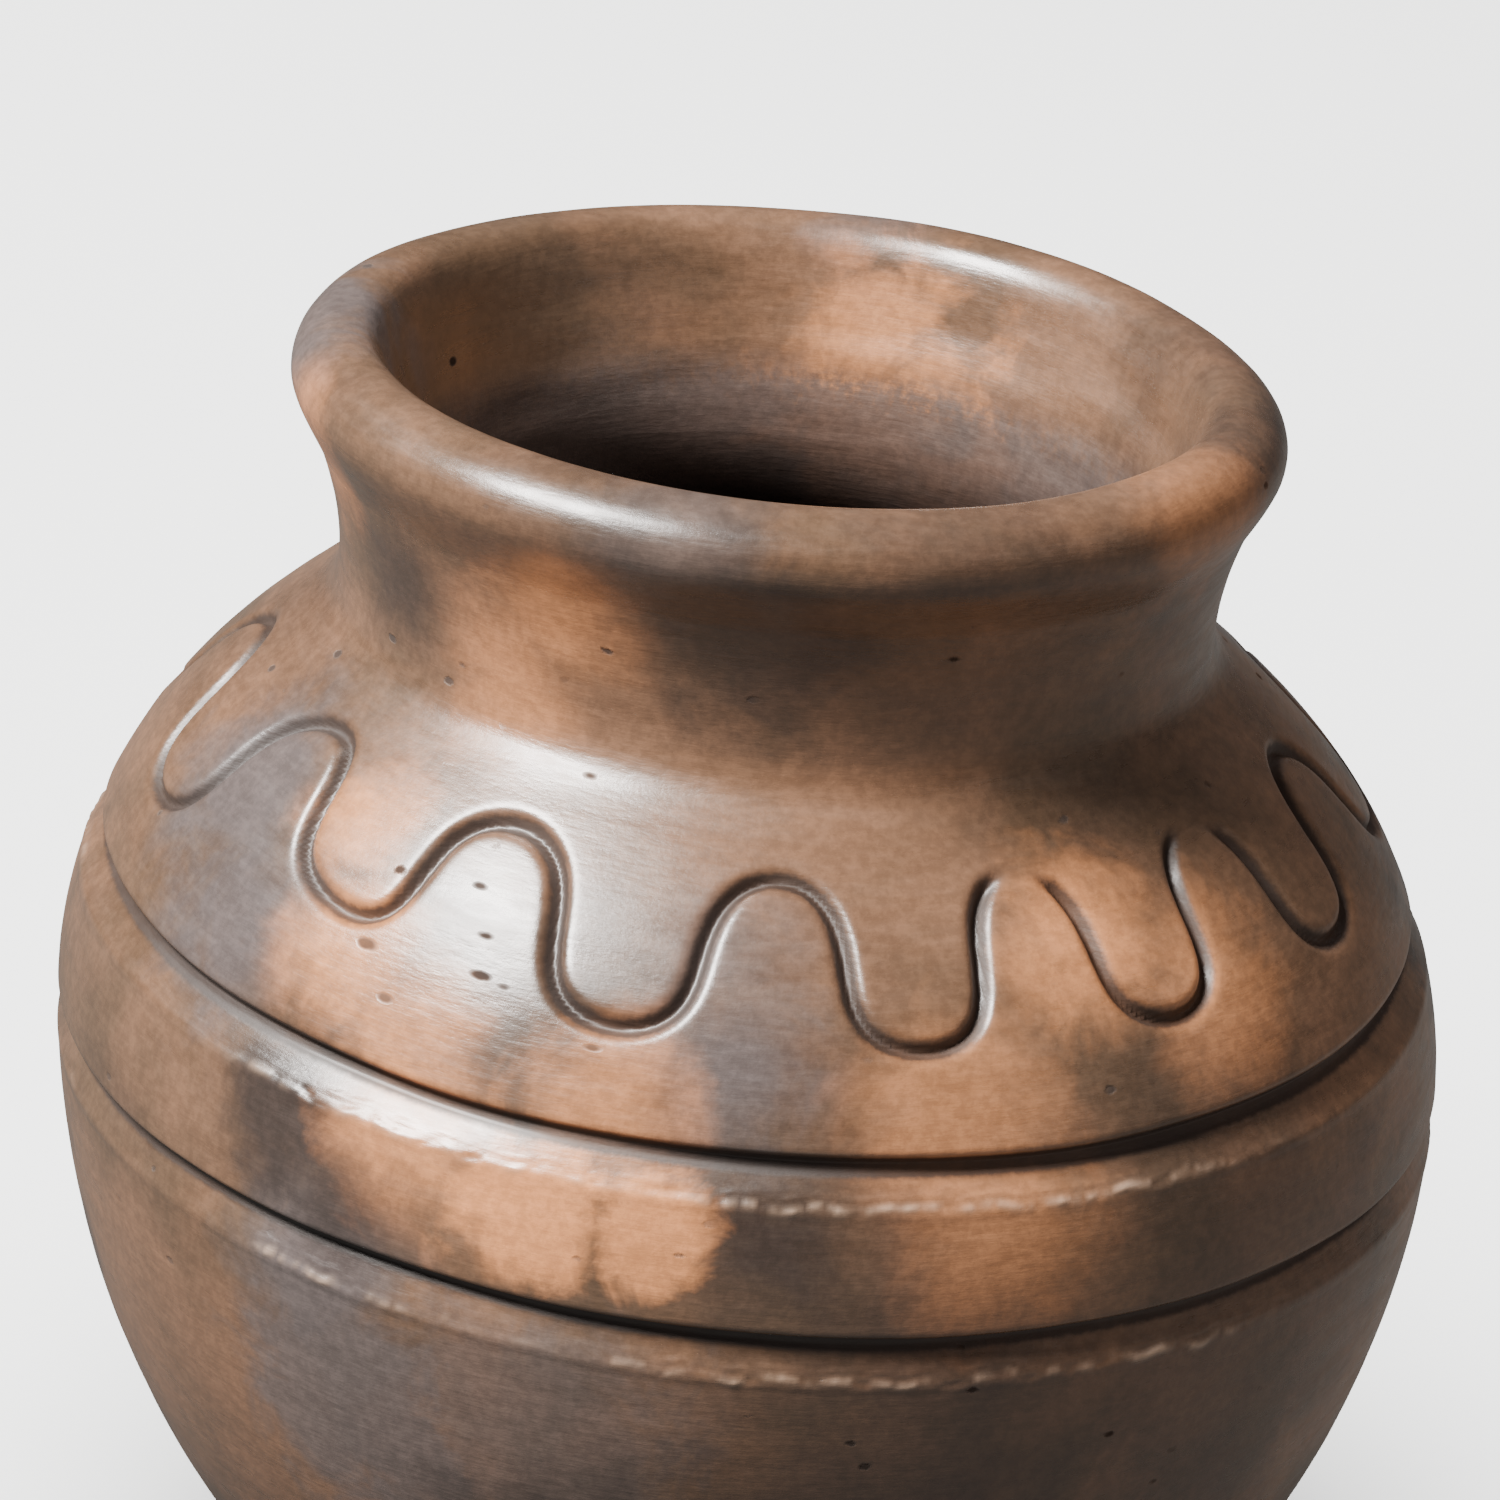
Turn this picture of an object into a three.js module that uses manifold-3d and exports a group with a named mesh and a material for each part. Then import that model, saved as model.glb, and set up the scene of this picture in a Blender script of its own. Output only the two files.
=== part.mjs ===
// Lota water pot: a burnished clay pot with a flared neck, a rolled lip, two ring grooves and a
// wavy line cut round the shoulder.  Millimetres, +Z up, the foot rests on z = 0.
//
// The pot is built up from six luted sections: base pad, lower bowl, belly band, shoulder, neck
// collar and rim coil.  Each joint is a tongue on the lower section in a channel of the upper one.
import * as THREE from 'three';
import { mergeVertices } from 'three/addons/utils/BufferGeometryUtils.js';
import Module from 'manifold-3d';

const wasm = await Module();
wasm.setup();

// ---- driving dimensions -------------------------------------------------------------------
const BELLY_RADIUS = 75;
const FOOT_RADIUS = 34;
const BELLY_HEIGHT = 78;          // foot to the widest ring
const SHOULDER_HEIGHT = 58;       // widest ring to where the shoulder dome would close
const NECK_RADIUS = 45.6;         // outside of the waist of the neck
const NECK_HEIGHT = 45.5;         // widest ring to the waist of the neck
const COLLAR_HEIGHT = 18;         // waist of the neck to the rim coil
const WALL = 6.5;
const LIP_RADIUS = 5.5;           // radius of the rolled lip
const LEAN = 4.5;                 // sideways travel of the centre line from foot to lip
const GROOVE_SPACING = 18;        // lower groove to upper groove
const WAVE_COUNT = 13;

// ---- sizes that follow from them ----------------------------------------------------------
const GAP = 0.3;                  // slip line between two sections
const SEGMENTS = 48;
const SLIVER = 0.03;              // triangles thinner than this are dropped after the wavy cut
const LOWER_SEMI_AXIS = BELLY_HEIGHT / Math.sqrt(1 - (FOOT_RADIUS / BELLY_RADIUS) ** 2);
const FLARE_RADIUS = NECK_RADIUS * 1.1;
const NECK_BLEND = WALL * 0.7;    // softness of the corner between shoulder and neck
const WAIST_Z = BELLY_HEIGHT + NECK_HEIGHT;
const BASE_JOINT_Z = WALL;
const LOWER_GROOVE_Z = BELLY_HEIGHT + WALL * 0.08;
const UPPER_GROOVE_Z = LOWER_GROOVE_Z + GROOVE_SPACING;
const NECK_JOINT_Z = WAIST_Z + WALL;
const RIM_JOINT_Z = WAIST_Z + COLLAR_HEIGHT;
const FLOOR_THICKNESS = WALL * 1.15;
const GROOVE_DEPTH = WALL * 0.26;
const GROOVE_SLOPE = WALL * 0.42; // length of the sloping lower side of a groove
const GROOVE_BREAK = WALL * 0.1;  // small broken edge on its upper side
const TONGUE_HEIGHT = WALL * 0.23;
const TONGUE_ROOT = WALL * 0.4;   // depth in the wall where the tongue begins
const TONGUE_TIP = WALL * 0.5;
const TONGUE_TIP_END = WALL * 0.7;
const TONGUE_END = WALL * 0.8;
const WAVE_MIDDLE_Z = UPPER_GROOVE_Z + (WAIST_Z - UPPER_GROOVE_Z) * 0.59;
const WAVE_AMPLITUDE = (WAIST_Z - UPPER_GROOVE_Z) * 0.235;
const WAVE_CUT_RADIUS = WALL * 0.25;
const WAVE_SQUARENESS = 0.72;     // 0 is a sine; towards 1 the sides of each wave stand upright
const WAVE_START = 0.235;         // angle of the first trough from the front, radians
const WAVE_DRIFT = 0.06;          // the hand-spaced waves crowd and spread by this angle, twice round
const WAVE_DRIFT_START = 0.75;

// Radius of the outside of the pot at a height.
function outerRadius(z) {
  const fromBelly = z - BELLY_HEIGHT;
  const semiAxis = fromBelly < 0 ? LOWER_SEMI_AXIS : SHOULDER_HEIGHT;
  const body = BELLY_RADIUS * Math.sqrt(Math.max(0, 1 - (fromBelly / semiAxis) ** 2));
  if (z < UPPER_GROOVE_Z) {
    return body;
  }
  const neck = NECK_RADIUS + (z - WAIST_Z) ** 2 / (2 * FLARE_RADIUS);
  const blended = (body + neck + Math.hypot(body - neck, NECK_BLEND)) / 2;
  const share = THREE.MathUtils.smoothstep(z, UPPER_GROOVE_Z, UPPER_GROOVE_Z + NECK_HEIGHT / 4);
  return THREE.MathUtils.lerp(body, blended, share);
}

// Direction up along the outside and direction out of it, at a height.
function surfaceFrame(z) {
  const step = 0.01;
  const slope = (outerRadius(z + step) - outerRadius(z - step)) / (2 * step);
  const along = new THREE.Vector2(slope, 1).normalize();
  const out = new THREE.Vector2(along.y, -along.x);
  return { along, out };
}

// A point of the wall: at a height on the outside, then in by depth and up along the wall.
function wallPoint(z, depth, rise = 0) {
  const { along, out } = surfaceFrame(z);
  return new THREE.Vector2(outerRadius(z), z).addScaledVector(out, -depth).addScaledVector(along, rise);
}

// Heights evenly spaced between two joints, without the ends.
function heightsBetween(low, high, count) {
  return Array.from({ length: count }, (_, i) => THREE.MathUtils.lerp(low, high, (i + 1) / (count + 1)));
}

// Joint face from the outside to the inside.  side is -1 for the section below, +1 for the one above.
function jointFace(z, side) {
  const shift = (side * GAP) / 2;
  return [
    wallPoint(z, TONGUE_ROOT, shift),
    wallPoint(z, TONGUE_TIP, TONGUE_HEIGHT + shift),
    wallPoint(z, TONGUE_TIP_END, TONGUE_HEIGHT + shift),
    wallPoint(z, TONGUE_END, shift),
    wallPoint(z, WALL, shift),
  ];
}

// Joint hidden at the bottom of a ring groove: sloping side below, steep side above.
function groovedJoint(z, side) {
  const edge = side < 0 ? -GROOVE_SLOPE : GROOVE_BREAK;
  return [wallPoint(z, 0, edge), wallPoint(z, GROOVE_DEPTH, (side * GAP) / 2), ...jointFace(z, side)];
}

// Joint smoothed over on the outside.
function plainJoint(z, side) {
  return [wallPoint(z, 0, (side * GAP) / 2), ...jointFace(z, side)];
}

// A ring of the wall: lower joint, inside going up, upper joint, outside going down.
function bandProfile(lowZ, highZ, lowJoint, highJoint, count) {
  const heights = heightsBetween(lowZ, highZ, count);
  const inside = heights.map((z) => wallPoint(z, WALL));
  const outside = heights.map((z) => wallPoint(z, 0));
  return [
    ...lowJoint(lowZ, 1),
    ...inside,
    ...highJoint(highZ, -1).reverse(),
    ...outside.reverse(),
  ].reverse();
}

// Flat pad with a slightly dished floor.
function basePadProfile() {
  const joint = plainJoint(BASE_JOINT_Z, -1);
  const inner = joint[joint.length - 1];
  const soft = WALL * 0.2;
  const floor = [0.7, 0.35].map((share) => {
    const height = THREE.MathUtils.lerp(FLOOR_THICKNESS, inner.y, share ** 2);
    return new THREE.Vector2(inner.x * share, height);
  });
  return [
    new THREE.Vector2(0, 0),
    new THREE.Vector2(FOOT_RADIUS - soft, 0),
    new THREE.Vector2(FOOT_RADIUS + soft / 2, soft / 2),
    ...joint,
    ...floor,
    new THREE.Vector2(0, FLOOR_THICKNESS),
  ];
}

// Rolled lip carried on the top of the collar.
function rimProfile() {
  const joint = plainJoint(RIM_JOINT_Z, 1);
  const lipZ = RIM_JOINT_Z + LIP_RADIUS * 1.35;
  const lipCentre = new THREE.Vector2(outerRadius(RIM_JOINT_Z) - LIP_RADIUS * 0.42, lipZ);
  const first = -0.3 * Math.PI;
  const last = 1.2 * Math.PI;
  const steps = 13;
  const roll = Array.from({ length: steps + 1 }, (_, i) => {
    const angle = THREE.MathUtils.lerp(first, last, i / steps);
    return new THREE.Vector2(Math.cos(angle), Math.sin(angle)).multiplyScalar(LIP_RADIUS).add(lipCentre);
  });
  return [...roll, ...joint.reverse()];
}

// Revolves a profile round the upright axis.  Profiles of rings close on themselves.
function revolve(profile, closed) {
  const points = closed ? [...profile, profile[0].clone()] : profile;
  const geometry = new THREE.LatheGeometry(points, SEGMENTS);
  geometry.rotateX(Math.PI / 2);
  geometry.deleteAttribute('normal');
  geometry.deleteAttribute('uv');
  return mergeVertices(geometry, 1e-4);
}

// Path of the wavy line on the outside of the shoulder.
function wavePoint(turn) {
  const phase = WAVE_COUNT * turn;
  const bulge = (WAVE_SQUARENESS * Math.sin(2 * phase)) / (2 * WAVE_COUNT);
  const drift = WAVE_DRIFT * Math.cos(2 * turn + WAVE_DRIFT_START);
  const angle = WAVE_START + turn + bulge + drift;
  const z = WAVE_MIDDLE_Z - WAVE_AMPLITUDE * Math.cos(phase);
  const radius = outerRadius(z);
  return new THREE.Vector3(radius * Math.sin(angle), -radius * Math.cos(angle), z);
}

// Five-sided ring that follows the wavy line, for cutting it.
function waveCutter() {
  const stepsPerWave = 8;
  const sides = 5;
  const count = WAVE_COUNT * stepsPerWave;
  const positions = [];
  const indices = [];
  for (let i = 0; i < count; i += 1) {
    const turn = (i / count) * 2 * Math.PI;
    const centre = wavePoint(turn);
    const ahead = wavePoint(turn + 0.001).sub(wavePoint(turn - 0.001)).normalize();
    const { out } = surfaceFrame(centre.z);
    const level = Math.hypot(centre.x, centre.y);
    const outward = new THREE.Vector3((centre.x / level) * out.x, (centre.y / level) * out.x, out.y);
    const across = new THREE.Vector3().crossVectors(ahead, outward).normalize();
    for (let k = 0; k < sides; k += 1) {
      const angle = (k / sides) * 2 * Math.PI;
      const corner = centre.clone()
        .addScaledVector(outward, WAVE_CUT_RADIUS * Math.cos(angle))
        .addScaledVector(across, WAVE_CUT_RADIUS * Math.sin(angle));
      positions.push(corner.x, corner.y, corner.z);
      const next = (i + 1) % count;
      const k2 = (k + 1) % sides;
      const [a, b, c, d] = [i * sides + k, next * sides + k, next * sides + k2, i * sides + k2];
      indices.push(a, c, b, a, d, c);
    }
  }
  const geometry = new THREE.BufferGeometry();
  geometry.setAttribute('position', new THREE.Float32BufferAttribute(positions, 3));
  geometry.setIndex(indices);
  return geometry;
}

function toManifold(geometry) {
  return new wasm.Manifold(new wasm.Mesh({
    numProp: 3,
    vertProperties: new Float32Array(geometry.getAttribute('position').array),
    triVerts: new Uint32Array(geometry.getIndex().array),
  }));
}

function fromManifold(solid) {
  const mesh = solid.getMesh();
  const geometry = new THREE.BufferGeometry();
  geometry.setAttribute('position', new THREE.Float32BufferAttribute(mesh.vertProperties, 3));
  geometry.setIndex([...mesh.triVerts]);
  return geometry;
}

// Pushes every level sideways so the pot stands slightly out of true, as it left the potter's hands.
function leanOver(geometry) {
  const height = RIM_JOINT_Z + LIP_RADIUS * 2.35;
  const position = geometry.getAttribute('position');
  for (let i = 0; i < position.count; i += 1) {
    const offset = (-LEAN * (position.getZ(i) - BELLY_HEIGHT)) / height;
    position.setX(i, position.getX(i) + offset);
  }
  return geometry;
}

function clay(colour, roughness) {
  return new THREE.MeshStandardMaterial({ color: colour, roughness, metalness: 0 });
}

function section(name, geometry, material) {
  const shaped = leanOver(geometry);
  shaped.computeVertexNormals();
  const mesh = new THREE.Mesh(shaped, material);
  mesh.name = name;
  return mesh;
}

function basePad() {
  return section('base_pad', revolve(basePadProfile(), false), clay('#3c2c25', 0.62));
}

function lowerBowl() {
  const profile = bandProfile(BASE_JOINT_Z, LOWER_GROOVE_Z, plainJoint, groovedJoint, 8);
  return section('lower_bowl', revolve(profile, true), clay('#54392c', 0.5));
}

function bellyBand() {
  const profile = bandProfile(LOWER_GROOVE_Z, UPPER_GROOVE_Z, groovedJoint, groovedJoint, 2);
  return section('belly_band', revolve(profile, true), clay('#8a5a3c', 0.42));
}

function shoulder() {
  const profile = bandProfile(UPPER_GROOVE_Z, NECK_JOINT_Z, groovedJoint, plainJoint, 9);
  const ring = toManifold(revolve(profile, true));
  const carved = fromManifold(ring.subtract(toManifold(waveCutter())).simplify(SLIVER));
  return section('shoulder', carved, clay('#9a6748', 0.4));
}

function neckCollar() {
  const profile = bandProfile(NECK_JOINT_Z, RIM_JOINT_Z, plainJoint, plainJoint, 3);
  return section('neck_collar', revolve(profile, true), clay('#8d5d40', 0.42));
}

function rimCoil() {
  return section('rim_coil', revolve(rimProfile(), true), clay('#a06d4d', 0.38));
}

const pot = new THREE.Group();
pot.name = 'lota_water_pot';
pot.add(basePad(), lowerBowl(), bellyBand(), shoulder(), neckCollar(), rimCoil());

export default pot;
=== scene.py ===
"""Looks of the lota water pot: burnished, smoke-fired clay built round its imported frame.

Metres, +Z up, the foot on z = 0 and the front towards -Y.  Angles round the pot start at the
front and grow towards +X.
"""

import logging
import math
from dataclasses import dataclass
from enum import Enum
from typing import ClassVar

import bpy
import numpy as np
from mathutils import Matrix, Vector, kdtree


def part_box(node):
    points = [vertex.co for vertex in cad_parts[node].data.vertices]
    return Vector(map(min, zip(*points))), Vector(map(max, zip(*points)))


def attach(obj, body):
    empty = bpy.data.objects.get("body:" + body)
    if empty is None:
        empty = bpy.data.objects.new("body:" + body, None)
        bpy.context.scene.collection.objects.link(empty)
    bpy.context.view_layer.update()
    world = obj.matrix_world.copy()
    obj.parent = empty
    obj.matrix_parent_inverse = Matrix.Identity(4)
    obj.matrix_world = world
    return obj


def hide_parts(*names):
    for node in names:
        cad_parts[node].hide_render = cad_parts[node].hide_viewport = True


LOG = logging.getLogger("lota_water_pot")
MM = 0.001
ROOT = "root"
MOUTH_DEPTH = 22 * MM  # below the rim's joint, where the painted shade inside the mouth reaches full strength
CLOSE_STEP = 0.25 * MM  # distance between rows beside a groove

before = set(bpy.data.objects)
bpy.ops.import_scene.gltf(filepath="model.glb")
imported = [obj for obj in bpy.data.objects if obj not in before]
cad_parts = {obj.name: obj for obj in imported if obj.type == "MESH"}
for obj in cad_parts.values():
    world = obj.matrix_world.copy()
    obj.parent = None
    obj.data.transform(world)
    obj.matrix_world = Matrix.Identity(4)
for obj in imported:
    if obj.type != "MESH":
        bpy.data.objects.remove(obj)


# ---------------------------------------------------------------------------------------------
# Form
# ---------------------------------------------------------------------------------------------


def eased(share: np.ndarray) -> np.ndarray:
    """Gives an even rise from 0 to 1 soft ends."""
    return share * share * (3 - 2 * share)


class Face(Enum):
    """The two faces of the wall."""

    OUTSIDE = 0.0
    INSIDE = 1.0


@dataclass(frozen=True)
class PotForm:
    """Outline of the wall and the heights of its joints, in metres."""

    belly_radius: float
    foot_radius: float
    belly_height: float
    shoulder_height: float
    neck_radius: float
    neck_height: float
    lip_radius: float
    wall: float
    lean: float
    total_height: float
    groove_spacing: float
    rim_joint: float
    rim_swell: float = 0.42
    neck_softness: float = 0.7

    @classmethod
    def from_frame(cls) -> "PotForm":
        """Reads the belly and the height from the frame; the rest, joints included, are shares of the belly
        or the height.

        Returns:
            The form of this pot.
        """
        low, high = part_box("belly_band")
        radius = (high[1] - low[1]) / 2
        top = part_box("rim_coil")[1][2]
        return cls(
            belly_radius=radius,
            foot_radius=0.4533 * radius,
            belly_height=0.5051 * top,
            shoulder_height=0.7733 * radius,
            neck_radius=0.608 * radius,
            neck_height=0.6067 * radius,
            lip_radius=0.0733 * radius,
            wall=0.0867 * radius,
            lean=0.06 * radius,
            total_height=top,
            groove_spacing=0.24 * radius,
            rim_joint=0.9163 * top,
        )

    @property
    def waist(self) -> float:
        """Height where the neck starts to flare."""
        return self.belly_height + self.neck_height

    @property
    def base_joint(self) -> float:
        """Height where the base pad ends and the bowl starts."""
        return self.wall

    @property
    def lower_groove(self) -> float:
        """Height of the lower ring groove."""
        return self.belly_height + 0.08 * self.wall

    @property
    def upper_groove(self) -> float:
        """Height of the upper ring groove."""
        return self.lower_groove + self.groove_spacing

    @property
    def neck_joint(self) -> float:
        """Height where the shoulder ends and the collar starts."""
        return self.waist + self.wall

    def depth_at(self, height: np.ndarray) -> np.ndarray:
        """Gives the thickness of the wall, which swells towards the rim.

        Args:
            height: heights above the foot.

        Returns:
            The thickness at each height.
        """
        share = np.clip((height - self.waist + self.wall) / (2.2 * self.wall), 0, 1)
        return self.wall * (1 + self.rim_swell * eased(share))

    def radius_at(self, height: np.ndarray) -> np.ndarray:
        """Gives the outside radius.

        Args:
            height: heights above the foot.

        Returns:
            The radius at each height.
        """
        foot_share = self.foot_radius / self.belly_radius
        lower_axis = self.belly_height / math.sqrt(1 - foot_share**2)
        rise = height - self.belly_height
        axis = np.where(rise < 0, lower_axis, self.shoulder_height)
        body = self.belly_radius * np.sqrt(np.clip(1 - (rise / axis) ** 2, 0, None))
        flare = self.neck_radius * 1.1
        neck = self.neck_radius + (height - self.waist) ** 2 / (2 * flare)
        blended = (body + neck + np.hypot(body - neck, self.neck_softness * self.wall)) / 2
        share = eased(np.clip((height - self.upper_groove) / (self.neck_height / 4), 0, 1))
        return np.where(height < self.upper_groove, body, body * (1 - share) + blended * share)

    def wall_frame(self, height: np.ndarray) -> tuple[np.ndarray, np.ndarray]:
        """Gives the direction up along the outline.

        Args:
            height: heights above the foot.

        Returns:
            The radial and upright parts of the unit direction.
        """
        step = 0.02 * MM
        slope = (self.radius_at(height + step) - self.radius_at(height - step)) / (2 * step)
        length = np.hypot(slope, 1)
        return slope / length, 1 / length

    def wall_point(self, height: np.ndarray, depth: np.ndarray | float) -> tuple[np.ndarray, np.ndarray]:
        """Gives a point of the wall as radius and height.

        Args:
            height: heights on the outside.
            depth: distance in from the outside.

        Returns:
            The radius and height of each point.
        """
        along_r, along_z = self.wall_frame(height)
        return self.radius_at(height) - depth * along_z, height + depth * along_r

    def place(self, angle: np.ndarray, radius: np.ndarray, height: np.ndarray) -> np.ndarray:
        """Turns angle, radius and height into points, with the pot's slight lean.

        Args:
            angle: angles round the pot.
            radius: distances from the centre line.
            height: heights above the foot.

        Returns:
            Points with x, y, z in the last axis.
        """
        centre = -self.lean * (height - self.belly_height) / self.total_height
        return np.stack([centre + radius * np.sin(angle), -radius * np.cos(angle), height + 0 * angle], -1)

    def heights(self, low: float, high: float, step: float, fine_low: float, fine_high: float) -> np.ndarray:
        """Spaces rows evenly along the wall, closer together near the ends that meet a groove.

        Args:
            low: first height.
            high: last height.
            step: usual distance between rows.
            fine_low: length of the close-set stretch at the low end.
            fine_high: length of the close-set stretch at the high end.

        Returns:
            The heights of the rows, both ends included.
        """
        dense = np.linspace(low, high, 4000)
        along = np.concatenate([[0], np.cumsum(np.hypot(np.diff(self.radius_at(dense)), np.diff(dense)))])
        length = along[-1]
        top = length - fine_high
        stretches = ((0, fine_low, CLOSE_STEP), (fine_low, top, step), (top, length, CLOSE_STEP))
        marks = [0.0]
        for start, stop, spacing in stretches:
            count = max(1, round((stop - start) / spacing))
            if stop > start:
                marks.extend(np.linspace(start, stop, count + 1)[1:])
        return np.interp(marks, along, dense)


@dataclass(frozen=True)
class Ripple:
    """Smooth random unevenness through space, from a few crossing waves."""

    seed: int
    wavelength: float
    height: float
    flatten: float = 1.0
    waves: int = 9

    def at(self, points: np.ndarray) -> np.ndarray:
        """Gives the unevenness.

        Args:
            points: places in space.

        Returns:
            A height at each point, mostly between plus and minus self.height.
        """
        chance = np.random.default_rng(self.seed)
        total = np.zeros(points.shape[:-1])
        for _ in range(self.waves):
            direction = chance.normal(size=3)
            direction /= np.linalg.norm(direction)
            direction[2] *= self.flatten
            length = self.wavelength * chance.uniform(0.7, 1.4)
            total += np.sin(points @ direction * (2 * math.pi / length) + chance.uniform(0, 2 * math.pi))
        return self.height * total / math.sqrt(self.waves)


@dataclass(frozen=True)
class Relief:
    """What was cut into a face and pushed up beside the cut."""

    rise: np.ndarray
    cut: np.ndarray
    burr: np.ndarray


@dataclass(frozen=True)
class RingGroove:
    """A groove cut round the belly: steep above, sloping below, with a crumbled lower edge."""

    height: float
    seed: int
    depth: float = 1.6 * MM
    wander: float = 0.45 * MM
    reach: float = 6.0 * MM
    crumb_line: float = -4.0
    crumb_width: float = 0.42
    crumb_height: float = 0.26 * MM
    scratch_line: float = -2.9
    scratch_width: float = 0.25
    scratch_height: float = 0.12 * MM
    # Cross-section going up: millimetres from the groove's line, and share of its depth.
    PROFILE: ClassVar[tuple[tuple[float, float], ...]] = (
        (-5.3, 0.0),
        (-4.6, 0.05),
        (-4.1, 0.02),
        (-3.6, -0.12),
        (-0.9, -0.8),
        (-0.4, -0.98),
        (0.5, -1.0),
        (0.95, -0.12),
        (1.4, 0.0),
    )

    def line(self, angle: np.ndarray) -> np.ndarray:
        """Gives how far the hand strayed from level.

        Args:
            angle: angles round the pot.

        Returns:
            The distance above or below level at each angle.
        """
        chance = np.random.default_rng(self.seed)
        total = np.zeros_like(angle)
        for turns in (2, 3, 5, 9, 14):
            total += np.sin(turns * angle + chance.uniform(0, 2 * math.pi)) / turns
        return self.wander * total

    def follow(self, angle: np.ndarray, height: np.ndarray) -> np.ndarray:
        """Moves rows near the groove up and down with it.

        Args:
            angle: angles round the pot.
            height: level heights.

        Returns:
            The heights after following the groove.
        """
        return height + self.line(angle) * np.exp(-(((height - self.height) / self.reach) ** 2))

    def relief(self, points: np.ndarray, level: np.ndarray) -> Relief:
        """Cuts the groove.

        Args:
            points: places on the outside.
            level: their heights before following the groove.

        Returns:
            The relief of the groove.
        """
        offset = (level - self.height) / MM
        shape = np.interp(offset, *zip(*self.PROFILE))
        pressure = 1 + Ripple(self.seed, 34 * MM, 0.16).at(points)
        crumbs = Ripple(self.seed + 1, 4.5 * MM, 0.5, 0.4).at(points)
        crumbs = crumbs + Ripple(self.seed + 2, 1.7 * MM, 0.35, 0.4).at(points)
        patches = np.clip(0.35 + Ripple(self.seed + 3, 42 * MM, 0.8).at(points), 0, 1)
        ragged = 0.35 * Ripple(self.seed + 4, 5 * MM, 1.0, 0.4).at(points)
        from_crumbs = offset - self.crumb_line + ragged
        from_scratch = offset - self.scratch_line + 0.5 * ragged
        edge = np.exp(-((from_crumbs / self.crumb_width) ** 2)) * patches
        scratch = np.exp(-((from_scratch / self.scratch_width) ** 2)) * patches
        rise = self.depth * shape * pressure + self.crumb_height * edge * np.clip(crumbs, -0.9, 0.9)
        rise = rise + self.scratch_height * scratch * np.clip(0.5 + crumbs, 0, 1)
        cut = np.clip(-shape, 0, 1) * np.clip(1.4 - np.abs(offset - 0.1) / 1.1, 0, 1)
        return Relief(rise, cut, edge * np.clip(0.2 + crumbs, 0, 1))


@dataclass(frozen=True)
class WavyLine:
    """The line drawn round the shoulder with a blunt stick."""

    form: PotForm
    count: int = 13
    middle_share: float = 0.59
    amplitude_share: float = 0.235
    squareness: float = 0.72
    start: float = 0.235
    drift: float = 0.06
    drift_start: float = 0.75
    half_width: float = 0.78 * MM
    depth: float = 1.35 * MM
    lifts: tuple[float, ...] = (29.0, 54.0, 137.0, -118.0)
    climb: float = 3.0 * MM
    climb_angle: float = -44.0
    climb_reach: float = 11.0
    lift_share: float = 0.9
    lift_reach: float = 3.6
    samples: int = 4200
    seed: int = 41

    def path(self) -> tuple[np.ndarray, np.ndarray]:
        """Gives the middle of the line as closely spaced points.

        Returns:
            Points on the outside of the shoulder in order, and how hard the stick pressed at each;
            it was nearly lifted at the angles in self.lifts, in degrees.
        """
        form = self.form
        turn = np.linspace(0, 2 * math.pi, self.samples, endpoint=False)
        phase = self.count * turn
        hand = np.random.default_rng(self.seed)
        uneven = np.zeros_like(turn)
        for turns in (3, 5, 8, 17):
            uneven += np.sin(turns * turn + hand.uniform(0, 2 * math.pi)) / 4
        band = form.waist - form.upper_groove
        bulge = self.squareness * np.sin(2 * phase) / (2 * self.count)
        drift = self.drift * np.cos(2 * turn + self.drift_start)
        angle = self.start + turn + bulge + drift + 0.005 * uneven
        height = form.upper_groove + band * (self.middle_share + 0.01 * uneven)
        height = height - band * self.amplitude_share * np.cos(phase) * (1 + 0.05 * uneven)
        slip = np.degrees(np.angle(np.exp(1j * (angle - math.radians(self.climb_angle)))))
        height = height + self.climb * np.exp(-((slip / self.climb_reach) ** 2))
        press = np.ones_like(angle)
        for lift in self.lifts:
            away = np.degrees(np.angle(np.exp(1j * (angle - math.radians(lift)))))
            press *= 1 - self.lift_share * np.exp(-((away / self.lift_reach) ** 4))
        return form.place(angle, form.radius_at(height), height), press

    def relief(self, points: np.ndarray) -> Relief:
        """Cuts the line.

        Args:
            points: places on the outside of the shoulder.

        Returns:
            The relief of the line.
        """
        path, press = self.path()
        tree = kdtree.KDTree(len(path))
        for index, place in enumerate(path):
            tree.insert(place, index)
        tree.balance()
        found = np.array([tree.find(place)[1:] for place in points.reshape(-1, 3)])
        distance = found[:, 1].reshape(points.shape[:-1])
        pressure = press[found[:, 0].astype(int)].reshape(distance.shape)
        pressure = pressure * (1 + Ripple(self.seed, 22 * MM, 0.14).at(points))
        width = self.half_width * (1 + Ripple(self.seed + 1, 30 * MM, 0.08).at(points))
        shape = np.exp(-((distance / width) ** 1.8))
        rise = -self.depth * shape * pressure
        return Relief(rise, shape * pressure, np.zeros_like(shape))


@dataclass(frozen=True)
class Skin:
    """A grid of places on one face of the wall, with what shows on it."""

    points: np.ndarray
    normals: np.ndarray
    cut: np.ndarray
    burr: np.ndarray
    inside: np.ndarray


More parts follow.
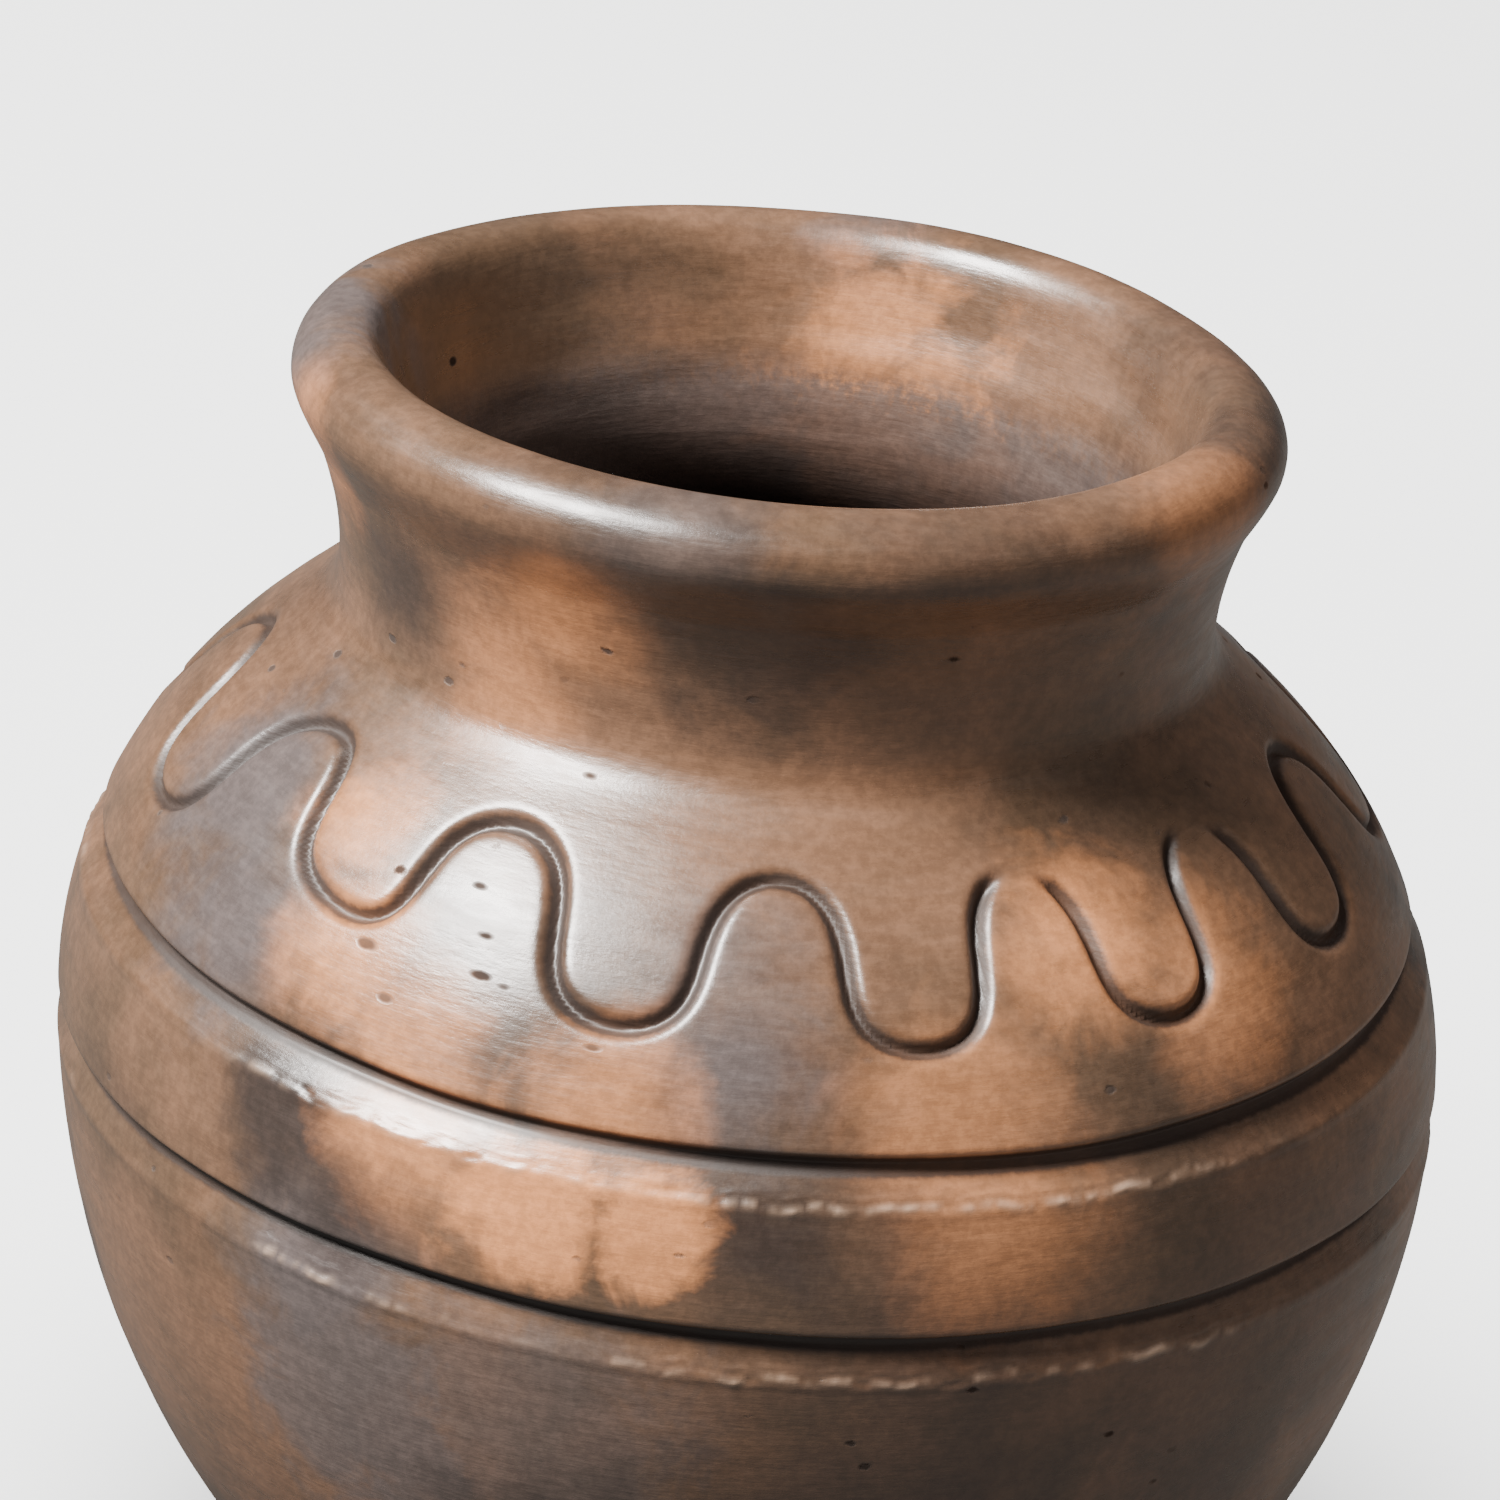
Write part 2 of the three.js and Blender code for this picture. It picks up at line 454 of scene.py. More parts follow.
class PotSurface:
    """The whole surface of the pot, from which each section takes its part."""

    def __init__(self, form: PotForm) -> None:
        """Sets up the marks of the potter's hands.

        Args:
            form: outline of the pot.
        """
        self.form = form
        self.grooves = (RingGroove(form.lower_groove, 11), RingGroove(form.upper_groove, 23))
        self.wave = WavyLine(form)
        self.shrink = 0.3 * MM
        self.beaten = (
            Ripple(3, 85 * MM, 0.16 * MM),
            Ripple(4, 26 * MM, 0.045 * MM),
            Ripple(5, 9 * MM, 0.012 * MM, 2.0),
        )
        self.wiped = (Ripple(7, 40 * MM, 0.2 * MM), Ripple(8, 16 * MM, 0.06 * MM, 3.0))

    def uneven(self, points: np.ndarray, face: Face) -> np.ndarray:
        """Adds up the beating marks outside, or the wiping marks inside."""
        ripples = self.beaten if face is Face.OUTSIDE else self.wiped
        return sum(ripple.at(points) for ripple in ripples) - self.shrink

    def shaped(
        self,
        angle: np.ndarray,
        level: np.ndarray,
        face: Face,
        waved: bool,
    ) -> tuple[np.ndarray, Relief]:
        """Gives points of one face with everything cut into them.

        Args:
            angle: angles, one column each.
            level: heights, one row each.
            face: which face of the wall.
            waved: whether the wavy line is cut here.

        Returns:
            The points, and the relief that was cut.
        """
        grid_angle, grid_level = np.broadcast_arrays(angle[None, :], level[:, None])
        height = grid_level
        for groove in self.grooves:
            height = groove.follow(grid_angle, height)
        depth = 0.0 if face is Face.OUTSIDE else self.form.depth_at(height)
        radius, upright = self.form.wall_point(height, depth)
        along_r, along_z = self.form.wall_frame(height)
        points = self.form.place(grid_angle, radius, upright)
        rise = self.uneven(points, face)
        cut = np.zeros_like(rise)
        burr = np.zeros_like(rise)
        if face is Face.OUTSIDE:
            reliefs = [groove.relief(points, grid_level) for groove in self.grooves]
            if waved:
                reliefs.append(self.wave.relief(points))
            rise = rise + sum(relief.rise for relief in reliefs)
            cut = sum(relief.cut for relief in reliefs)
            burr = sum(relief.burr for relief in reliefs)
        side = 1 if face is Face.OUTSIDE else -1
        shaped = self.form.place(grid_angle, radius + side * rise * along_z, upright - side * rise * along_r)
        return shaped, Relief(rise, cut, burr)

    def skin(self, angle: np.ndarray, level: np.ndarray, face: Face, waved: bool = False) -> Skin:
        """Gives one face between two joints.

        Args:
            angle: angles, one column each.
            level: heights from low to high, one row each.
            face: which face of the wall.
            waved: whether the wavy line is cut here.

        Returns:
            The skin, with normals that carry on smoothly into the next section.
        """
        before = 2 * level[0] - level[1]
        after = 2 * level[-1] - level[-2]
        points, relief = self.shaped(angle, np.concatenate([[before], level, [after]]), face, waved)
        normals = grid_normals(points)
        if face is Face.INSIDE:
            normals = -normals
        inner = slice(1, -1)
        # Depth into the mouth: drives the greyer inside and the painted shade that grows with depth inside
        # the mouth.
        depth = np.clip((self.form.rim_joint - points[inner, :, 2]) / MOUTH_DEPTH, 0, 1)
        inside = depth if face is Face.INSIDE else np.zeros_like(depth)
        return Skin(points[inner], normals[inner], relief.cut[inner], relief.burr[inner], inside)


def grid_normals(points: np.ndarray) -> np.ndarray:
    """Gives normals of a grid that closes round the pot.

    Args:
        points: a grid of points, rows going up and columns going round.

    Returns:
        Unit normals, pointing away from the centre line for rows that go up.
    """
    up = np.gradient(points, axis=0)
    round_it = np.roll(points, -1, axis=1) - np.roll(points, 1, axis=1)
    normal = np.cross(round_it, up)
    return normal / np.linalg.norm(normal, axis=-1, keepdims=True)


def curve_between(
    start: np.ndarray,
    leave: np.ndarray,
    end: np.ndarray,
    arrive: np.ndarray,
    count: int,
) -> np.ndarray:
    """Joins two points with a smooth curve.

    Args:
        start: first point.
        leave: direction and strength at the first point.
        end: last point.
        arrive: direction and strength at the last point.
        count: how many points to give, both ends included.

    Returns:
        Points of the curve.
    """
    t = np.linspace(0, 1, count)[:, None]
    return (
        (2 * t**3 - 3 * t**2 + 1) * start
        + (t**3 - 2 * t**2 + t) * leave
        + (3 * t**2 - 2 * t**3) * end
        + (t**3 - t**2) * arrive
    )


# ---------------------------------------------------------------------------------------------
# Shading
# ---------------------------------------------------------------------------------------------


class Bench:
    """Places and wires nodes in one node tree."""

    def __init__(self, tree: bpy.types.NodeTree) -> None:
        """Keeps the tree to work in."""
        self.tree = tree

    def add(self, kind: str, **settings: object) -> bpy.types.Node:
        """Adds a node and sets its plain properties.

        Args:
            kind: Blender's name for the node.
            settings: its properties by name.

        Returns:
            The new node.
        """
        node = self.tree.nodes.new(kind)
        for name, value in settings.items():
            setattr(node, name, value)
        return node

    def feed(self, socket: bpy.types.NodeSocket, source: object) -> None:
        """Links a socket to another socket, or gives it a plain value.

        Args:
            socket: the input to feed.
            source: an output socket or a value.
        """
        if isinstance(source, bpy.types.NodeSocket):
            self.tree.links.new(source, socket)
        else:
            socket.default_value = source

    def maths(self, operation: str, *values: object, clamp: bool = False) -> bpy.types.NodeSocket:
        """Adds a Math node.

        Args:
            operation: name of the operation.
            values: sockets or numbers, in order.
            clamp: whether the result is kept between 0 and 1.

        Returns:
            The result socket.
        """
        node = self.add("ShaderNodeMath", operation=operation, use_clamp=clamp)
        for socket, value in zip(node.inputs, values):
            self.feed(socket, value)
        return node.outputs[0]

    def vector(self, operation: str, *values: object) -> bpy.types.NodeSocket:
        """Adds a Vector Math node.

        Args:
            operation: name of the operation.
            values: sockets or vectors, in order.

        Returns:
            The result socket: a number for a distance, a vector otherwise.
        """
        node = self.add("ShaderNodeVectorMath", operation=operation)
        for socket, value in zip(node.inputs, values):
            self.feed(socket, value)
        return node.outputs["Value"] if operation == "DISTANCE" else node.outputs["Vector"]

    def spread(
        self,
        value: object,
        low: object,
        high: object,
        out_low: float = 0.0,
        out_high: float = 1.0,
    ) -> bpy.types.NodeSocket:
        """Maps a range smoothly onto another.

        Args:
            value: what to map.
            low: where the range starts.
            high: where the range ends.
            out_low: result at its start.
            out_high: result at its end.

        Returns:
            The result socket.
        """
        node = self.add("ShaderNodeMapRange", interpolation_type="SMOOTHSTEP")
        sources = {"Value": value, "From Min": low, "From Max": high, "To Min": out_low, "To Max": out_high}
        for name, source in sources.items():
            self.feed(node.inputs[name], source)
        return node.outputs["Result"]

    def noise(
        self,
        place: object,
        scale: object,
        detail: float,
        roughness: float = 0.5,
        distortion: float = 0.0,
    ) -> bpy.types.NodeSocket:
        """Adds a noise texture.

        Args:
            place: where to read it.
            scale: how fine it is.
            detail: how many octaves.
            roughness: how strong the fine octaves are.
            distortion: how far it swirls.

        Returns:
            The noise value socket.
        """
        node = self.add("ShaderNodeTexNoise")
        self.feed(node.inputs["Vector"], place)
        self.feed(node.inputs["Scale"], scale)
        node.inputs["Detail"].default_value = detail
        node.inputs["Roughness"].default_value = roughness
        node.inputs["Distortion"].default_value = distortion
        return node.outputs["Fac"]

    def blend(self, share: object, first: object, second: object, mode: str = "MIX") -> bpy.types.NodeSocket:
        """Mixes two colours.

        Args:
            share: how much of the second.
            first: socket or colour.
            second: socket or colour.
            mode: blend mode.

        Returns:
            The mixed colour socket.
        """
        node = self.add("ShaderNodeMix", data_type="RGBA", blend_type=mode)
        self.feed(node.inputs[0], share)
        self.feed(node.inputs[6], first)
        self.feed(node.inputs[7], second)
        return node.outputs[2]

    def place_mm(self) -> bpy.types.NodeSocket:
        """Gives the place on the pot in millimetres."""
        coordinates = self.add("ShaderNodeTexCoord")
        return self.vector("MULTIPLY", coordinates.outputs["Object"], (1000.0, 1000.0, 1000.0))


@dataclass(frozen=True)
class GroupSocket:
    """A named input of a shader group."""

    name: str
    kind: str
    value: object


class ShaderGroup:
    """A node group built once and placed in any material."""

    def __init__(self, name: str, inputs: tuple[GroupSocket, ...], outputs: tuple[str, ...]) -> None:
        """Makes the empty group with its sockets.

        Args:
            name: name of the group.
            inputs: its inputs.
            outputs: names of its outputs, all numbers.
        """
        self.tree = bpy.data.node_groups.new(name, "ShaderNodeTree")
        for socket in inputs:
            made = self.tree.interface.new_socket(socket.name, in_out="INPUT", socket_type=socket.kind)
            made.default_value = socket.value
        for output in outputs:
            self.tree.interface.new_socket(output, in_out="OUTPUT", socket_type="NodeSocketFloat")
        self.bench = Bench(self.tree)
        self.entry = self.bench.add("NodeGroupInput").outputs
        self.exit = self.bench.add("NodeGroupOutput").inputs

    def put(self, bench: Bench, **values: object) -> bpy.types.bpy_prop_collection:
        """Places the group in a material.

        Args:
            bench: the material's bench.
            values: a socket or value for each input, spaces written as underscores.

        Returns:
            The outputs of the placed group.
        """
        node = bench.add("ShaderNodeGroup", node_tree=self.tree)
        for name, value in values.items():
            bench.feed(node.inputs[name.replace("_", " ")], value)
        return node.outputs


def number(name: str, value: float) -> GroupSocket:
    """Describes a number input."""
    return GroupSocket(name, "NodeSocketFloat", value)


class ClayEffects:
    """The effects that the clay finishes share."""

    def __init__(self) -> None:
        """Builds each group once."""
        self.fire_cloud = self._fire_cloud()
        self.smoke = self._smoke()
        self.strokes = self._strokes()
        self.grain = self._grain()
        self.tool_marks = self._tool_marks()

    @staticmethod
    def _fire_cloud() -> ShaderGroup:
        """Builds one patch left by flame or smoke, its edge made ragged by the Edge value.

        Returns:
            The group.
        """
        sockets = (
            GroupSocket("Centre", "NodeSocketVector", (0.0, 0.0, 0.0)),
            number("Reach", 20.0),
            number("Softness", 3.0),
            number("Ragged", 8.0),
            number("Edge", 0.0),
            number("Flatness", 1.0),
        )
        group = ShaderGroup("fire_cloud", sockets, ("Mask",))
        bench = group.bench
        squeeze = bench.add("ShaderNodeCombineXYZ")
        for socket, share in zip(squeeze.inputs, (1.0, 1.0, group.entry["Flatness"])):
            bench.feed(socket, share)
        offset = bench.vector("SUBTRACT", bench.place_mm(), group.entry["Centre"])
        offset = bench.vector("MULTIPLY", offset, squeeze.outputs[0])
        distance = bench.vector("DISTANCE", offset, (0.0, 0.0, 0.0))
        rags = bench.maths("MULTIPLY", group.entry["Edge"], group.entry["Ragged"])
        distance = bench.maths("ADD", distance, rags)
        near = bench.maths("SUBTRACT", group.entry["Reach"], group.entry["Softness"])
        far = bench.maths("ADD", group.entry["Reach"], group.entry["Softness"])
        bench.feed(group.exit["Mask"], bench.spread(distance, far, near))
        return group

    @staticmethod
    def _smoke() -> ShaderGroup:
        """Builds the broad unevenness of a smoky firing.

        Returns:
            The group.
        """
        sockets = (number("Scale", 0.02), number("Level", 0.5), number("Softness", 0.15))
        group = ShaderGroup("smoke", sockets, ("Smoke", "Warmth", "Edge"))
        bench = group.bench
        place = bench.place_mm()
        broad = bench.noise(place, group.entry["Scale"], 5.0, 0.6, 0.4)
        low = bench.maths("SUBTRACT", group.entry["Level"], group.entry["Softness"])
        high = bench.maths("ADD", group.entry["Level"], group.entry["Softness"])
        bench.feed(group.exit["Smoke"], bench.spread(broad, low, high))
        shifted = bench.vector("ADD", place, (170.0, 40.0, 90.0))
        warm = bench.noise(shifted, bench.maths("MULTIPLY", group.entry["Scale"], 2.2), 5.0, 0.6, 0.3)
        bench.feed(group.exit["Warmth"], bench.spread(warm, 0.33, 0.66))
        rags = bench.noise(shifted, bench.maths("MULTIPLY", group.entry["Scale"], 6.0), 5.0, 0.6, 0.5)
        bench.feed(group.exit["Edge"], bench.spread(rags, 0.25, 0.75, -1.0, 1.0))
        return group

    @staticmethod
    def _strokes() -> ShaderGroup:
        """Builds the strokes of the burnishing pebble, drawn round the pot.

        Returns:
            The group.
        """
        sockets = (number("Fineness", 0.06), number("Stretch", 9.0))
        group = ShaderGroup("burnish_strokes", sockets, ("Tone", "Height"))
        bench = group.bench
        stretch = bench.add("ShaderNodeCombineXYZ")
        stretch.inputs[0].default_value = 1.0
        stretch.inputs[1].default_value = 1.0
        bench.feed(stretch.inputs[2], group.entry["Stretch"])
        place = bench.vector("MULTIPLY", bench.place_mm(), stretch.outputs[0])
        broad = bench.noise(place, group.entry["Fineness"], 3.0, 0.55, 0.2)
        thin = bench.noise(place, bench.maths("MULTIPLY", group.entry["Fineness"], 4.5), 3.0, 0.6)
        for name, broad_share in (("Tone", 0.6), ("Height", 0.45)):
            kept = bench.maths("MULTIPLY", broad, broad_share)
            added = bench.maths("MULTIPLY", thin, 1 - broad_share)
            bench.feed(group.exit[name], bench.maths("ADD", kept, added))
        return group

    @staticmethod
    def _grain() -> ShaderGroup:
        """Builds the specks, pinholes and fine tooth of the clay.

        Returns:
            The group.
        """
        sockets = (number("Speck Size", 1.3), number("Pit Spacing", 9.0), number("Pit Size", 0.9))
        group = ShaderGroup("clay_grain", sockets, ("Speck", "Pits", "Tooth"))
        bench = group.bench
        place = bench.place_mm()
        fine = bench.noise(place, bench.maths("DIVIDE", 1.0, group.entry["Speck Size"]), 5.0, 0.7)
        bench.feed(group.exit["Speck"], bench.spread(fine, 0.3, 0.72))
        cells = bench.add("ShaderNodeTexVoronoi", feature="F1")
        wobble = bench.vector("MULTIPLY", place, (1.0, 1.0, 1.8))
        bench.feed(cells.inputs["Vector"], wobble)
        bench.feed(cells.inputs["Scale"], bench.maths("DIVIDE", 1.0, group.entry["Pit Spacing"]))
        cells.inputs["Randomness"].default_value = 1.0
        away = bench.maths("MULTIPLY", cells.outputs["Distance"], group.entry["Pit Spacing"])
        ragged = bench.maths("MULTIPLY", bench.maths("SUBTRACT", fine, 0.5), 1.2)
        away = bench.maths("ADD", away, ragged)
        floor = bench.maths("MULTIPLY", group.entry["Pit Size"], 0.45)
        hole = bench.spread(away, group.entry["Pit Size"], floor)
        chosen = bench.spread(bench.noise(place, 0.045, 2.0, 0.5), 0.5, 0.6)
        bench.feed(group.exit["Pits"], bench.maths("MULTIPLY", hole, chosen))
        tooth = bench.noise(place, 1.6, 6.0, 0.7)
        bench.feed(group.exit["Tooth"], tooth)
        return group

    @staticmethod
    def _tool_marks() -> ShaderGroup:
        """Builds the masks of what was cut, of what was raised, and of how deep inside the mouth a place
        lies, from what the meshes carry.

        Returns:
            The group.
        """
        group = ShaderGroup("tool_marks", (number("Crumble", 0.5),), ("Cut", "Burr", "Inside"))
        bench = group.bench
        rough = bench.noise(bench.place_mm(), 0.8, 4.0, 0.7)
        shake = bench.maths("MULTIPLY", bench.maths("SUBTRACT", rough, 0.5), group.entry["Crumble"])
        for name in ("Cut", "Burr", "Inside"):
            mark = bench.add("ShaderNodeAttribute", attribute_name=name.lower()).outputs["Fac"]
            edge = bench.maths("MULTIPLY", shake, bench.spread(mark, 0.02, 0.3))
            bench.feed(group.exit[name], bench.maths("ADD", mark, edge, clamp=True))
        return group


Colour = tuple[float, float, float, float]


def clay_colour(red: float, green: float, blue: float) -> Colour:
    """Turns a colour as the eye names it into light values.

    Args:
        red: red, 0 to 255.
        green: green, 0 to 255.
        blue: blue, 0 to 255.

    Returns:
        The colour, with full opacity.
    """
    parts = [value / 255 for value in (red, green, blue)]
    light = [part / 12.92 if part <= 0.04045 else ((part + 0.055) / 1.055) ** 2.4 for part in parts]
    return (light[0], light[1], light[2], 1.0)


@dataclass(frozen=True)
class FireCloud:
    """One patch of the firing, placed in degrees round the pot and millimetres up."""

    azimuth: float
    height: float
    reach: float
    strength: float
    softness: float = 5.5
    flatness: float = 1.0

    def centre(self, form: PotForm) -> tuple[float, float, float]:
        """Gives the middle of the patch in millimetres, on the outside of the pot.

        Args:
            form: outline of the pot.

        Returns:
            The x, y and z of the middle.
        """
        height = np.array([self.height * MM])
        place = form.place(np.radians([self.azimuth]), form.radius_at(height), height)[0] / MM
        return (float(place[0]), float(place[1]), float(place[2]))


BLUSHES = (
    FireCloud(-6, 88, 6, 0.9, 2),
    FireCloud(-15, 88, 8, 1.0, 3),
    FireCloud(-26, 94, 7, 0.75),
    FireCloud(-43, 115, 6, 0.8, 4),
    FireCloud(-37, 106, 7, 0.75),
    FireCloud(-28, 101, 7, 0.6),
    FireCloud(-10, 100, 7, 0.55),
    FireCloud(18, 101, 9, 0.4),
    FireCloud(34, 113, 8, 0.7),
    FireCloud(46, 108, 8, 0.5),
    FireCloud(22, 89, 9, 0.35),
    FireCloud(-25, 139, 7, 0.6),
    FireCloud(-33, 131, 7, 0.45),
    FireCloud(-70, 144, 6, 0.7),
    FireCloud(58, 150, 9, 0.3),
    FireCloud(140, 90, 24, 0.8, 6),
    FireCloud(165, 132, 16, 0.6, 5),
    FireCloud(-125, 66, 22, 0.7, 6),
    FireCloud(95, 55, 18, 0.5, 6),
)
FILMS = (
    FireCloud(-50, 104, 10, 0.9),
    FireCloud(-60, 113, 10, 0.9),
    FireCloud(0, 105, 8, 0.85),
    FireCloud(-2, 112, 6, 0.6),
    FireCloud(-34, 75, 10, 0.9),
    FireCloud(-30, 61, 14, 0.8, 5),
    FireCloud(-14, 65, 15, 0.55, 6),
    FireCloud(-12, 150, 9, 0.55),
    FireCloud(-88, 152, 15, 0.85),
    FireCloud(172, 150, 9, 0.7, 4),
    FireCloud(120, 118, 15, 0.7, 5),
    FireCloud(-160, 96, 20, 0.7, 6),
)
SOOTS = (
    FireCloud(-38, 89, 8, 0.95),
    FireCloud(-31, 84, 6, 0.8),
    FireCloud(3, 88, 6, 0.85),
    FireCloud(-53, 134, 7, 0.8),
    FireCloud(-2, 141, 11, 0.6, 5),
    FireCloud(-22, 154, 12, 0.4, 6),
    FireCloud(20, 154, 12, 0.45, 6),
    FireCloud(75, 154, 14, 0.4, 6),
    FireCloud(42, 97, 12, 0.3, 6),
    FireCloud(16, 68, 20, 0.35, 8),
    FireCloud(48, 74, 24, 0.4, 8),
    # darkens the lower front of the bowl towards the foot
    FireCloud(5, 25, 36, 0.6, 12),
    FireCloud(100, 92, 20, 0.75, 6),
    FireCloud(178, 58, 32, 0.8, 9),
    FireCloud(-130, 117, 17, 0.8, 6),
    FireCloud(-90, 40, 26, 0.8, 9),
)
SCARS = (
    FireCloud(-24.0, 110.5, 1.1, 1.0, 0.4, 3.0),
    FireCloud(-23.0, 107.5, 1.2, 1.0, 0.4, 3.0),
    FireCloud(-20.8, 107.1, 0.8, 0.8, 0.4, 3.0),
    FireCloud(-35.0, 106.8, 1.2, 0.9, 0.4, 2.5),
    FireCloud(-31.0, 103.2, 0.8, 0.8, 0.4, 2.5),
    FireCloud(-20.0, 123.4, 0.9, 0.9, 0.3, 3.0),
    FireCloud(-12.0, 103.9, 0.8, 0.8, 0.3, 3.0),
    FireCloud(-26.5, 113.9, 0.9, 0.9, 0.3, 3.0),
    FireCloud(150.0, 112.0, 1.2, 0.9, 0.4, 3.0),
    FireCloud(-97.0, 101.0, 1.2, 0.9, 0.4, 3.0),
)


@dataclass(frozen=True)
class BurnishedClay:
    """Clay fired in smoke, glossy where it was rubbed with a pebble first."""

    name: str
    form: PotForm
    brown: Colour = clay_colour(86, 66, 50)
    copper: Colour = clay_colour(116, 85, 64)
    blush: Colour = clay_colour(202, 134, 86)
    film: Colour = clay_colour(86, 78, 77)
    soot: Colour = clay_colour(52, 43, 39)
    # Pale crumbs along the crumbled groove edges, partly crumbled clay and partly a painted glint.
    crumb_and_glint: Colour = clay_colour(188, 160, 138)
    # Painted shade: the dark colour that the cuts, the pits and the inside of the mouth are blended towards.
    recess_shade_colour: Colour = clay_colour(36, 25, 20)
    roughness: float = 0.31
    gloss: float = 0.25
    coat_roughness: float = 0.26
    shine: float = 0.7
    smoke_share: float = 0.5
    inner_film: float = 0.7
    inner_patches: float = 0.15
    recess_shade_strength: float = 0.85
    mouth_shade_strength: float = 0.75
    crumb_glint_strength: float = 0.5
    stroke_relief: float = 0.42
    tooth_relief: float = 0.12
    pit_relief: float = 0.45
    relief_strength: float = 0.55
    relief_depth: float = 0.35 * MM

    def build(self, effects: ClayEffects) -> bpy.types.Material:
        """Makes the material.

        Args:
            effects: the shared effects.

        Returns:
            The finished material.
        """
        material = bpy.data.materials.new(self.name)
        material.use_nodes = True
        bench = Bench(material.node_tree)
        shader = material.node_tree.nodes["Principled BSDF"]
        smoke = effects.smoke.put(bench, Scale=0.018, Level=0.56, Softness=0.1)
        strokes = effects.strokes.put(bench, Fineness=0.07, Stretch=6.0)
        grain = effects.grain.put(bench, Speck_Size=1.3, Pit_Spacing=8.0, Pit_Size=0.9)
        marks = effects.tool_marks.put(bench, Crumble=0.55)
        colour = bench.blend(smoke["Warmth"], self.brown, self.copper)
        colour = bench.blend(bench.maths("MULTIPLY", smoke["Smoke"], self.smoke_share), colour, self.soot)
        within = bench.spread(marks["Inside"], 0.0, 0.3)
        colour = bench.blend(bench.maths("MULTIPLY", within, self.inner_film), colour, self.film)
        outside = bench.spread(within, 0.0, 1.0, 1.0, self.inner_patches)
        layers = ((FILMS, self.film), (SOOTS, self.soot), (BLUSHES, self.blush))
        for patches, tint in layers:
            mask = bench.maths("MULTIPLY", self._patches(bench, effects, patches, smoke["Edge"]), outside)
            colour = bench.blend(mask, colour, tint)
        tone = bench.spread(strokes["Tone"], 0.36, 0.64, 0.91, 1.06)
        speck = bench.spread(grain["Speck"], 0.0, 1.0, 0.84, 1.1)
        shade = bench.maths("MULTIPLY", tone, speck)
        colour = bench.blend(1.0, colour, self._grey(bench, shade), "MULTIPLY")
        # Pale crumbs along the groove edges: partly crumbled clay, partly a painted glint.
        crumbs_and_glints = bench.maths("MULTIPLY", marks["Burr"], self.crumb_glint_strength)
        colour = bench.blend(crumbs_and_glints, colour, self.crumb_and_glint)
        pits = bench.maths("MAXIMUM", grain["Pits"], self._patches(bench, effects, SCARS, smoke["Edge"]))
        # Painted shade in recesses: the cut lines, pinholes and scars are blended towards the dark recess
        # colour.
        cut = bench.spread(marks["Cut"], 0.0, 0.5, 0.0, self.recess_shade_strength)
        painted_shade = bench.maths("MAXIMUM", cut, bench.maths("MULTIPLY", pits, self.recess_shade_strength))
        # Painted shade inside the mouth, growing with depth below the rim's joint.
        mouth_shade_mask = bench.maths("MULTIPLY", marks["Inside"], self.mouth_shade_strength)
        painted_shade = bench.maths("MAXIMUM", painted_shade, mouth_shade_mask)
        bench.feed(shader.inputs["Base Color"], bench.blend(painted_shade, colour, self.recess_shade_colour))
        rough = bench.spread(strokes["Tone"], 0.35, 0.66, self.roughness - 0.05, self.roughness + 0.08)
        rough = bench.maths("ADD", rough, bench.maths("MULTIPLY", painted_shade, 0.3))
        rough = bench.maths("ADD", rough, bench.maths("MULTIPLY", pits, 0.5))
        bench.feed(shader.inputs["Roughness"], rough)
        self._raise(bench, shader, strokes, grain["Tooth"], pits)
        shader.inputs["Specular IOR Level"].default_value = self.shine
        bench.feed(shader.inputs["Coat Weight"], bench.spread(pits, 0.0, 1.0, self.gloss, 0.0))
        shader.inputs["Coat Roughness"].default_value = self.coat_roughness
        return material

    def _patches(
        self,
        bench: Bench,
        effects: ClayEffects,
        patches: tuple[FireCloud, ...],
        edge: bpy.types.NodeSocket,
    ) -> bpy.types.NodeSocket:
        """Lays several patches together, the strongest winning.

        Args:
            bench: the material's bench.
            effects: the shared effects.
            patches: where the patches lie.
            edge: the value that makes their edges ragged.

        Returns:
            The mask of all of them.
        """
        together: object = 0.0
        for patch in patches:
            mask = effects.fire_cloud.put(
                bench,
                Centre=patch.centre(self.form),
                Reach=patch.reach,
                Softness=patch.softness,
                Ragged=0.4 * patch.reach,
                Edge=edge,
                Flatness=patch.flatness,
            )["Mask"]
            together = bench.maths("MAXIMUM", together, bench.maths("MULTIPLY", mask, patch.strength))
        return together

    @staticmethod
    def _grey(bench: Bench, value: bpy.types.NodeSocket) -> bpy.types.NodeSocket:
        """Turns a number into a grey.

        Args:
            bench: the material's bench.
            value: the number.

        Returns:
            The colour socket.
        """
        node = bench.add("ShaderNodeCombineColor")
        for socket in node.inputs:
            bench.feed(socket, value)
        return node.outputs[0]

    def _raise(
        self,
        bench: Bench,
        shader: bpy.types.Node,
        strokes: bpy.types.bpy_prop_collection,
        tooth: bpy.types.NodeSocket,
        pits: bpy.types.NodeSocket,
    ) -> None:
        """Wires the fine relief of strokes, tooth and pits.

        Args:
            bench: the material's bench.
            shader: the material's shader.
            strokes: outputs of the burnish_strokes group.
            tooth: fine tooth of the clay.
            pits: mask of the pinholes and scars.
        """
        height = bench.maths("MULTIPLY", strokes["Height"], self.stroke_relief)
        height = bench.maths("ADD", height, bench.maths("MULTIPLY", tooth, self.tooth_relief))
        height = bench.maths("SUBTRACT", height, bench.maths("MULTIPLY", pits, self.pit_relief))
        bump = bench.add("ShaderNodeBump")
        bump.inputs["Strength"].default_value = self.relief_strength
        bump.inputs["Distance"].default_value = self.relief_depth
        bench.feed(bump.inputs["Height"], height)
        bench.feed(shader.inputs["Normal"], bump.outputs["Normal"])


